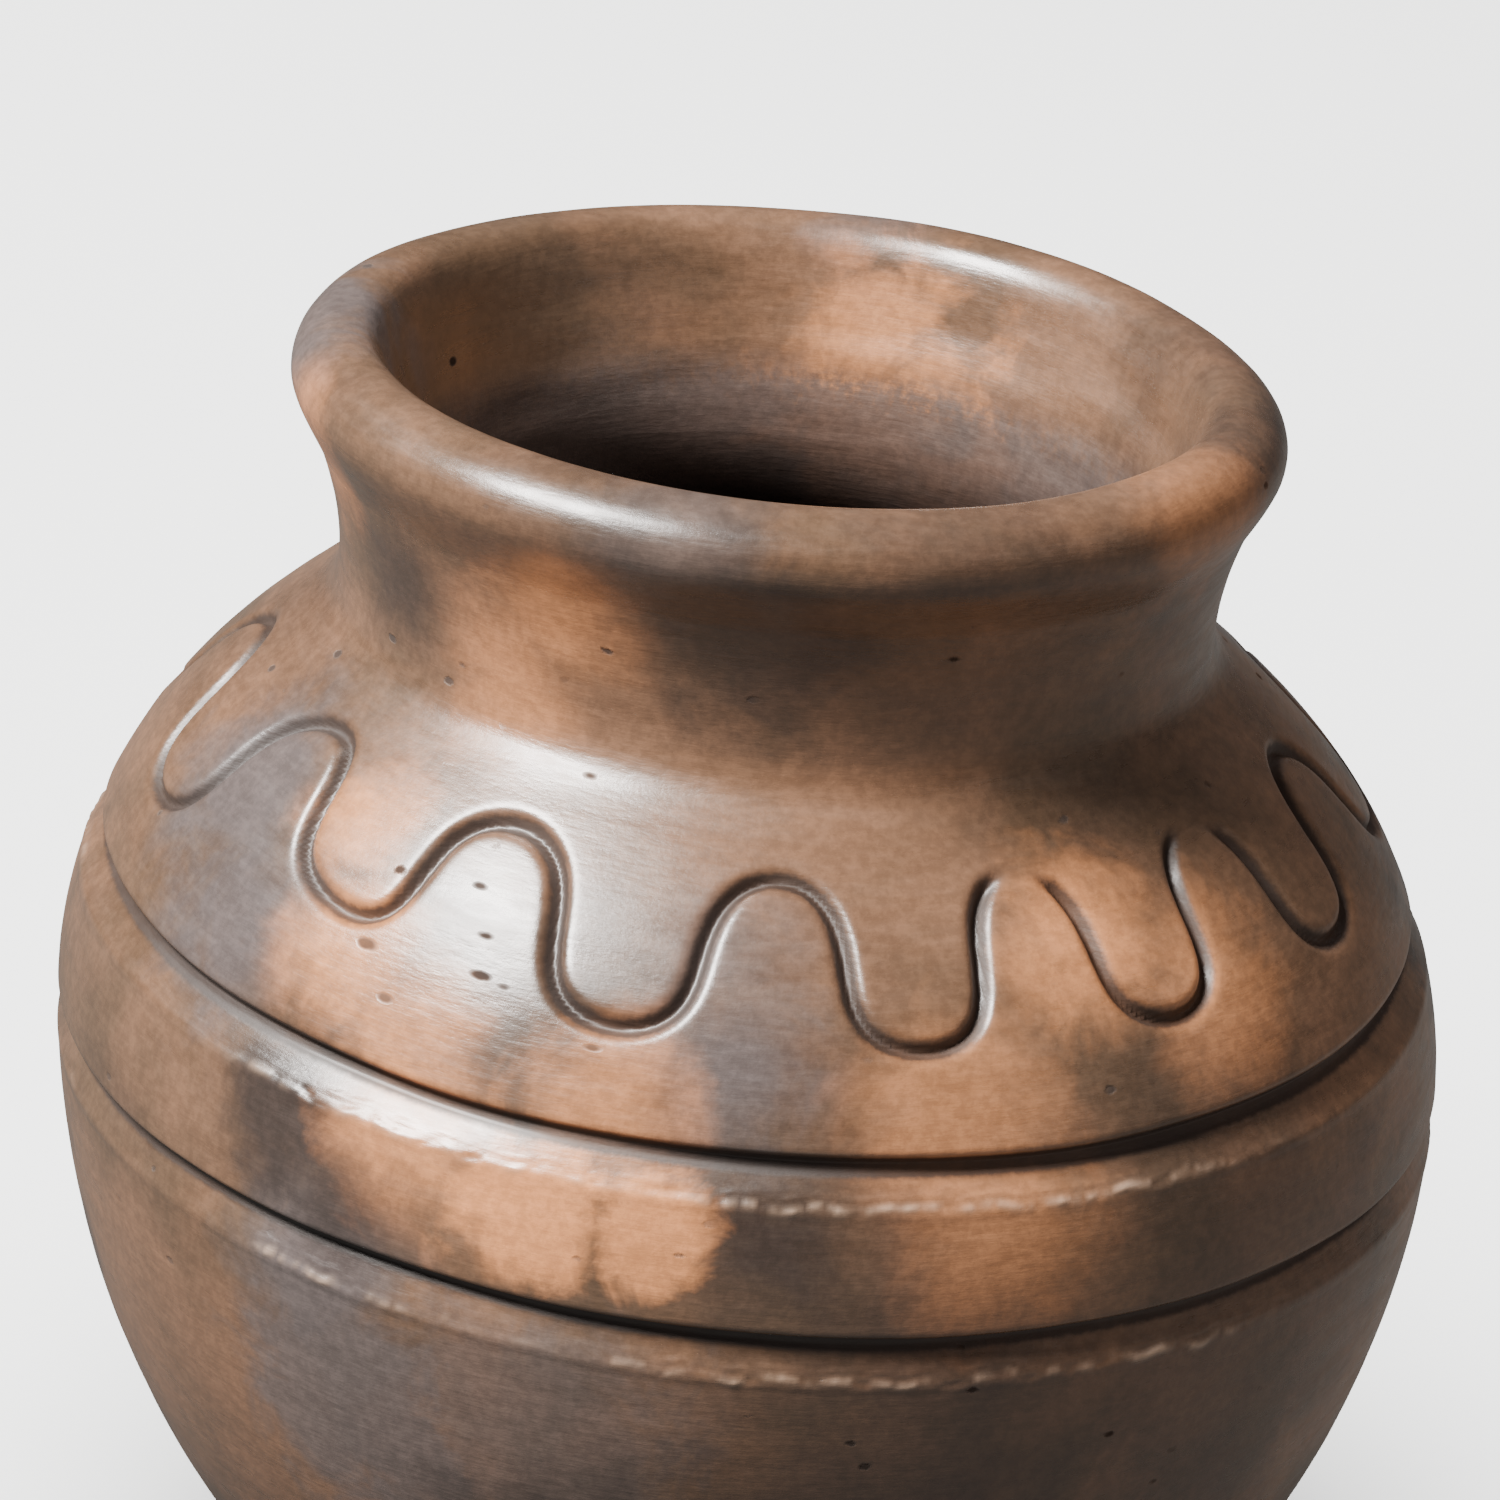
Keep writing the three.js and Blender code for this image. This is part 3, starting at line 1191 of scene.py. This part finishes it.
@dataclass(frozen=True)
class StudioPaper:
    """Pale matt paper for the floor, which throws little light back up at the pot."""

    name: str = "studio_paper"
    white: Colour = (0.88, 0.88, 0.87, 1.0)
    fibre: Colour = (0.85, 0.85, 0.84, 1.0)
    bounce: Colour = (0.042, 0.04, 0.037, 1.0)

    def build(self) -> bpy.types.Material:
        """Makes the material.

        Returns:
            The finished material.
        """
        material = bpy.data.materials.new(self.name)
        material.use_nodes = True
        bench = Bench(material.node_tree)
        shader = material.node_tree.nodes["Principled BSDF"]
        seen = bench.blend(bench.noise(bench.place_mm(), 0.6, 4.0, 0.6), self.white, self.fibre)
        looking = bench.add("ShaderNodeLightPath").outputs["Is Camera Ray"]
        bench.feed(shader.inputs["Base Color"], bench.blend(looking, self.bounce, seen))
        shader.inputs["Roughness"].default_value = 0.9
        return material


# ---------------------------------------------------------------------------------------------
# Sections
# ---------------------------------------------------------------------------------------------


@dataclass(kw_only=True)
class Section:
    """One luted section of the pot: a ring of wall, its two joints and its finish."""

    node: str
    surface: PotSurface
    columns: int = 720
    row_step: float = 0.8 * MM
    inner_step: float = 3.0 * MM
    fine_low: float = 0.0
    fine_high: float = 0.0
    waved: bool = False

    def span(self) -> tuple[float, float]:
        """Gives the heights of the lower and upper joint."""
        raise NotImplementedError

    def angles(self) -> np.ndarray:
        """Gives the angle of each column."""
        return np.linspace(0, 2 * math.pi, self.columns, endpoint=False)

    def skins(self) -> list[Skin]:
        """Gives the outside going up and the inside going down.

        Returns:
            The skins in the order they follow round the section.
        """
        low, high = self.span()
        form = self.surface.form
        rows = form.heights(low, high, self.row_step, self.fine_low, self.fine_high)
        inner_rows = form.heights(low, high, self.inner_step, 0, 0)
        outside = self.surface.skin(self.angles(), rows, Face.OUTSIDE, self.waved)
        inside = self.surface.skin(self.angles(), inner_rows, Face.INSIDE)
        return [outside, flipped(inside)]

    def build(self) -> bpy.types.Object:
        """Builds the section as one closed mesh.

        Returns:
            The new object.
        """
        return close_ring(self.node + "_clay", self.skins())

    def dress(self, piece: bpy.types.Object, finish: bpy.types.Material) -> None:
        """Gives the piece its finish and its place in the frame.

        Args:
            piece: the mesh that was built.
            finish: its material.
        """
        piece.data.materials.append(finish)
        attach(piece, ROOT)
        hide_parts(self.node)
        LOG.info("%s: %d points, %d faces", piece.name, len(piece.data.vertices), len(piece.data.polygons))


def flipped(skin: Skin) -> Skin:
    """Turns a skin upside down in row order."""
    return Skin(skin.points[::-1], skin.normals[::-1], skin.cut[::-1], skin.burr[::-1], skin.inside[::-1])


def close_ring(name: str, skins: list[Skin], open_ends: bool = False) -> bpy.types.Object:
    """Makes one closed mesh from skins that follow each other round a section.

    Args:
        name: name of the object.
        skins: the skins in order.
        open_ends: True for a pad, whose first and last rows shrink to a point on the centre line.

    Returns:
        The new object.
    """
    points = np.concatenate([skin.points for skin in skins])
    normals = np.concatenate([skin.normals for skin in skins])
    rows, columns = points.shape[:2]
    owner = np.concatenate([np.full(len(skin.points), index) for index, skin in enumerate(skins)])
    last = rows - 1 if open_ends else rows
    row = np.repeat(np.arange(last), columns)
    column = np.tile(np.arange(columns), last)
    above = (row + 1) % rows
    beside = (column + 1) % columns
    corners = ((row, column), (row, beside), (above, beside), (above, column))
    quads = np.stack([down * columns + across for down, across in corners], 1)
    joint = owner[row] != owner[above]
    faces = quads.tolist()
    corner_normals = normals.reshape(-1, 3)[quads]
    corner_normals[joint] = 0
    corner_normals = corner_normals.reshape(-1, 3)
    vertices = points.reshape(-1, 3)
    if open_ends:
        ends = [(0, np.arange(columns)[::-1]), (rows - 1, (rows - 1) * columns + np.arange(columns))]
        for end_row, ring in ends:
            faces.append(ring.tolist())
            flat = np.tile(normals[end_row].mean(0), (columns, 1))
            corner_normals = np.concatenate([corner_normals, flat])
    mesh = bpy.data.meshes.new(name)
    mesh.from_pydata(vertices.tolist(), [], faces)
    mesh.shade_smooth()
    mesh.normals_split_custom_set(corner_normals.tolist())
    for label in ("cut", "burr", "inside"):
        values = np.concatenate([getattr(skin, label) for skin in skins]).ravel()
        mesh.attributes.new(label, "FLOAT", "POINT").data.foreach_set("value", values.astype(np.float32))
    piece = bpy.data.objects.new(name, mesh)
    bpy.context.scene.collection.objects.link(piece)
    return piece


@dataclass(kw_only=True)
class LowerBowl(Section):
    """The beaten lower body, up to the lower groove."""

    node: str = "lower_bowl"
    row_step: float = 1.15 * MM
    fine_high: float = 6.0 * MM

    def span(self) -> tuple[float, float]:
        """From the base pad to the lower groove."""
        return self.surface.form.base_joint, self.surface.form.lower_groove


@dataclass(kw_only=True)
class BellyBand(Section):
    """The widest band, between the two grooves."""

    node: str = "belly_band"
    row_step: float = 0.6 * MM
    fine_low: float = 2.0 * MM
    fine_high: float = 6.0 * MM

    def span(self) -> tuple[float, float]:
        """From groove to groove."""
        return self.surface.form.lower_groove, self.surface.form.upper_groove


@dataclass(kw_only=True)
class Shoulder(Section):
    """The dome that carries the wavy line."""

    node: str = "shoulder"
    columns: int = 900
    row_step: float = 0.5 * MM
    fine_low: float = 2.0 * MM
    waved: bool = True

    def span(self) -> tuple[float, float]:
        """From the upper groove to the neck."""
        return self.surface.form.upper_groove, self.surface.form.neck_joint


@dataclass(kw_only=True)
class NeckCollar(Section):
    """The short flared collar."""

    node: str = "neck_collar"
    row_step: float = 0.5 * MM
    inner_step: float = 0.5 * MM

    def span(self) -> tuple[float, float]:
        """From the neck to the rim."""
        return self.surface.form.neck_joint, self.surface.form.rim_joint


@dataclass(kw_only=True)
class RimCoil(Section):
    """The rolled lip."""

    node: str = "rim_coil"
    roll_start: float = -8.0
    roll_end: float = 106.0
    roll_in: float = 0.42
    roll_up: float = 1.35
    pull_share: float = 0.7
    sag: float = 0.35 * MM

    def skins(self) -> list[Skin]:
        """Rolls the lip over from the outside of the collar to its inside.

        Returns:
            A single skin that starts and ends at the joint.
        """
        form = self.surface.form
        joint = np.array([form.rim_joint])
        along_r, along_z = (part[0] for part in form.wall_frame(joint))
        outer = np.array([part[0] for part in form.wall_point(joint, 0.0)])
        inner = np.array([part[0] for part in form.wall_point(joint, form.depth_at(joint))])
        below = joint - 0.5 * MM
        after = np.array([part[0] for part in form.wall_point(below, form.depth_at(below))])
        down = (after - inner) / np.linalg.norm(after - inner)
        middle_radius = outer[0] - self.roll_in * form.lip_radius
        middle = np.array([middle_radius, form.rim_joint + self.roll_up * form.lip_radius])
        roll = np.radians(np.linspace(self.roll_start, self.roll_end, 64))
        arc = middle + form.lip_radius * np.stack([np.cos(roll), np.sin(roll)], 1)
        pull = self.pull_share * form.lip_radius
        up = np.array([along_r, along_z])
        leave = pull * np.array([-math.sin(roll[0]), math.cos(roll[0])])
        arrive = pull * np.array([-math.sin(roll[-1]), math.cos(roll[-1])])
        rise = curve_between(outer, 1.4 * pull * up, arc[0], 1.4 * leave, 14)
        drop = np.linalg.norm(arc[-1] - inner)
        fall = curve_between(arc[-1], arrive / pull * drop, inner, drop * down, 30)
        outline = np.concatenate([rise[:-1], arc, fall[1:]])
        before = outer - 0.5 * MM * up
        outline = np.concatenate([[before], outline, [after]])
        angle = self.angles()
        grid_angle, radius = np.broadcast_arrays(angle[None, :], outline[:, 0:1])
        height = np.broadcast_to(outline[:, 1:2], radius.shape)
        points = form.place(grid_angle, radius, height)
        normals = grid_normals(points)
        share = np.linspace(0, 1, len(outline))[:, None]
        across = np.clip((share - 0.7) / 0.3, 0, 1)
        rise_out = self.surface.uneven(points, Face.OUTSIDE)
        rise_in = self.surface.uneven(points, Face.INSIDE)
        free = np.sin(math.pi * share) ** 2
        droop = free * (Ripple(61, 70 * MM, 1.0).at(points) - 1.6) * self.sag
        moved = points + normals * (rise_out * (1 - across) + rise_in * across)[..., None]
        moved[..., 2] += droop
        normals = grid_normals(moved)
        # Depth into the mouth on the lip's inner side, which drives the same painted shade.
        inside = np.clip((form.rim_joint - moved[..., 2]) / MOUTH_DEPTH, 0, 1) * across
        empty = np.zeros_like(inside)
        inner_rows = slice(1, -1)
        layers = (moved, normals, empty, empty, inside)
        return [Skin(*(layer[inner_rows] for layer in layers))]


@dataclass(kw_only=True)
class BasePad(Section):
    """The flat pad that the pot stands on."""

    node: str = "base_pad"
    floor_thickness: float = 7.5 * MM
    edge: float = 1.4 * MM
    knee_height: float = 1.6 * MM
    corner_pull: float = 2.2 * MM
    centre_radius: float = 0.4 * MM
    underside_rows: int = 30

    def skins(self) -> list[Skin]:
        """Goes from the middle of the underside, round the foot, and over the floor inside.

        Returns:
            The outer skin and the floor.
        """
        form = self.surface.form
        low = np.array([self.knee_height])
        foot = np.array([form.foot_radius - self.edge, 0.0])
        knee = np.array([part[0] for part in form.wall_point(low, 0.0)])
        along = np.array([part[0] for part in form.wall_frame(low)])
        under = np.linspace(self.centre_radius, foot[0], self.underside_rows)[:-1]
        middle = np.stack([under, np.zeros_like(under)], 1)
        flat_pull = np.array([self.corner_pull, 0.0])
        corner = curve_between(foot, flat_pull, knee, self.corner_pull * along, 8)
        heights = form.heights(low[0], form.base_joint, self.row_step, 0, 0)[1:]
        side = np.stack(form.wall_point(heights, 0.0), 1)
        after = np.stack(form.wall_point(np.array([form.base_joint + self.row_step]), 0.0), 1)
        outline = np.concatenate([middle, corner, side, after])
        outer = self._skin(outline, Face.OUTSIDE)
        inner_edge = np.stack(form.wall_point(np.array([form.base_joint]), form.wall), 1)[0]
        share = np.linspace(1, 0.01, 24)[:, None]
        dish = self.floor_thickness + (inner_edge[1] - self.floor_thickness) * share**2
        floor = np.concatenate([inner_edge[0] * share, dish], 1)
        return [outer, self._skin(np.concatenate([floor, floor[-1:] * [[0.5, 1.0]]]), Face.INSIDE)]

    def _skin(self, outline: np.ndarray, face: Face) -> Skin:
        """Turns an outline, with one spare row at its end, into a skin.

        Args:
            outline: radius and height of each row.
            face: which face of the wall.

        Returns:
            The skin without the spare row.
        """
        form = self.surface.form
        angle, radius = np.broadcast_arrays(self.angles()[None, :], outline[:, 0:1])
        height = np.broadcast_to(outline[:, 1:2], radius.shape)
        points = form.place(angle, radius, height)
        normals = grid_normals(points)
        standing = np.clip(outline[:, 1:2] / (3 * MM), 0, 1)
        rise = self.surface.uneven(points, face) * standing
        points = points + normals * rise[..., None]
        normals = grid_normals(points)
        kept = slice(0, -1)
        empty = np.zeros(radius.shape)[kept]
        inside = empty + face.value
        return Skin(points[kept], normals[kept], empty, empty, inside)

    def build(self) -> bpy.types.Object:
        """Builds the pad, closed in the middle of both its faces."""
        return close_ring(self.node + "_clay", self.skins(), open_ends=True)


# ---------------------------------------------------------------------------------------------
# Studio
# ---------------------------------------------------------------------------------------------


@dataclass(frozen=True)
class Lamp:
    """A soft square light: degrees, metres, watts, and whether the pot's gloss mirrors it."""

    name: str
    azimuth: float
    elevation: float
    distance: float
    size: float
    power: float
    colour: tuple[float, float, float]
    mirrored: bool = True

    def direction(self) -> Vector:
        """Gives the direction from the pot towards the light.

        Returns:
            A unit vector.
        """
        azimuth, elevation = math.radians(self.azimuth), math.radians(self.elevation)
        flat = math.cos(elevation)
        return Vector((math.sin(azimuth) * flat, -math.cos(azimuth) * flat, math.sin(elevation)))

    def hang(self, target: Vector, lit: bpy.types.Collection, shading: bpy.types.Collection | None) -> None:
        """Hangs the light.

        Args:
            target: what it points at.
            lit: what it lights.
            shading: what throws shadows in it, or None for everything.
        """
        data = bpy.data.lights.new(self.name, "AREA")
        data.size = self.size
        data.energy = self.power
        data.color = self.colour
        lamp = bpy.data.objects.new(self.name, data)
        lamp.location = target + self.direction() * self.distance
        lamp.rotation_euler = (-self.direction()).to_track_quat("-Z", "Y").to_euler()
        lamp.visible_glossy = self.mirrored
        lamp.light_linking.receiver_collection = lit
        lamp.light_linking.blocker_collection = shading
        bpy.context.scene.collection.objects.link(lamp)


@dataclass(kw_only=True)
class Studio:
    """Pale floor, soft lights and the camera."""

    form: PotForm
    pot: bpy.types.Collection
    distance_share: float = 8.0
    elevation: float = 26.0
    swing: float = 0.29
    tip: float = 2.66
    roll: float = -5.6
    lens: float = 132.26
    floor_size: float = 6.0
    world_strength: float = 0.075
    world_colour: tuple[float, float, float, float] = (0.93, 0.95, 1.0, 1.0)
    key: Lamp = Lamp(
        name="key",
        azimuth=-62.6,
        elevation=49.7,
        distance=1.2,
        size=0.42,
        power=62.0,
        colour=(1.0, 0.97, 0.94),
    )
    fill: Lamp = Lamp(
        name="fill",
        azimuth=72.0,
        elevation=20.0,
        distance=1.4,
        size=0.9,
        power=9.0,
        colour=(1.0, 0.95, 0.9),
        mirrored=False,
    )
    back: Lamp = Lamp(
        name="back",
        azimuth=176.0,
        elevation=32.0,
        distance=1.5,
        size=1.3,
        power=16.0,
        colour=(0.96, 0.98, 1.0),
        mirrored=False,
    )
    floor_light: Lamp = Lamp(
        name="floor_light",
        azimuth=-62.6,
        elevation=76.0,
        distance=2.2,
        size=2.4,
        power=330.0,
        colour=(1.0, 1.0, 1.0),
    )

    def build(self) -> None:
        """Sets up the whole studio."""
        floor = self.lay_floor()
        self.fill_world()
        belly = Vector((0, 0, self.form.belly_height))
        for lamp in (self.key, self.fill, self.back):
            lamp.hang(belly, self.pot, None)
        self.floor_light.hang(belly, floor, self.pot)
        self.set_camera()

    def lay_floor(self) -> bpy.types.Collection:
        """Lays the plain level floor.

        Returns:
            A collection that holds it.
        """
        half = self.floor_size / 2
        corners = [(-half, -half, 0.0), (half, -half, 0.0), (half, half, 0.0), (-half, half, 0.0)]
        floor = self._stage_mesh("floor", corners, [(0, 1, 2, 3)])
        floor.data.materials.append(StudioPaper().build())
        ground = bpy.data.collections.new("ground")
        ground.objects.link(floor)
        return ground

    def fill_world(self) -> None:
        """Lights the room with an even pale grey."""
        world = bpy.data.worlds.new("studio_world")
        world.use_nodes = True
        background = world.node_tree.nodes["Background"]
        background.inputs["Color"].default_value = self.world_colour
        background.inputs["Strength"].default_value = self.world_strength
        bpy.context.scene.world = world

    @staticmethod
    def _stage_mesh(
        name: str,
        corners: list[tuple[float, ...]],
        faces: list[tuple[int, ...]],
    ) -> bpy.types.Object:
        """Makes a mesh that is part of the studio and not of the pot.

        Args:
            name: name of the object.
            corners: its corners.
            faces: corner numbers of each face.

        Returns:
            The new object.
        """
        mesh = bpy.data.meshes.new(name)
        mesh.from_pydata(corners, [], faces)
        piece = bpy.data.objects.new(name, mesh)
        bpy.context.scene.collection.objects.link(piece)
        return piece

    def set_camera(self) -> None:
        """Sets the camera in front, looking down at the pot and slightly rolled."""
        data = bpy.data.cameras.new("camera")
        data.lens = self.lens
        data.sensor_width = 36.0
        camera = bpy.data.objects.new("camera", data)
        elevation = math.radians(self.elevation)
        distance = self.distance_share * self.form.belly_radius
        height = self.form.belly_height + distance * math.sin(elevation)
        camera.location = (0, -distance * math.cos(elevation), height)
        turn = Matrix.Rotation(math.radians(self.swing), 3, "Z")
        nod = Matrix.Rotation(math.radians(self.tip - self.elevation), 3, "X")
        lean = Matrix.Rotation(math.radians(self.roll), 3, "Y")
        level = Matrix.Rotation(math.pi / 2, 3, "X")
        camera.rotation_euler = (turn @ nod @ lean @ level).to_euler()
        bpy.context.scene.collection.objects.link(camera)
        bpy.context.scene.camera = camera


def main() -> None:
    """Builds the pot section by section, then the studio."""
    logging.basicConfig(level=logging.INFO, format="%(name)s: %(message)s")
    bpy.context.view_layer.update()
    form = PotForm.from_frame()
    surface = PotSurface(form)
    effects = ClayEffects()
    burnished = BurnishedClay("burnished_clay", form).build(effects)
    scraped = BurnishedClay("scraped_clay", form, roughness=0.5, gloss=0.08).build(effects)
    pot = bpy.data.collections.new("pot")
    for kind in (BasePad, LowerBowl, BellyBand, Shoulder, NeckCollar, RimCoil):
        section = kind(surface=surface)
        piece = section.build()
        section.dress(piece, scraped if kind is BasePad else burnished)
        pot.objects.link(piece)
    Studio(form=form, pot=pot).build()


if __name__ == "__main__":
    main()
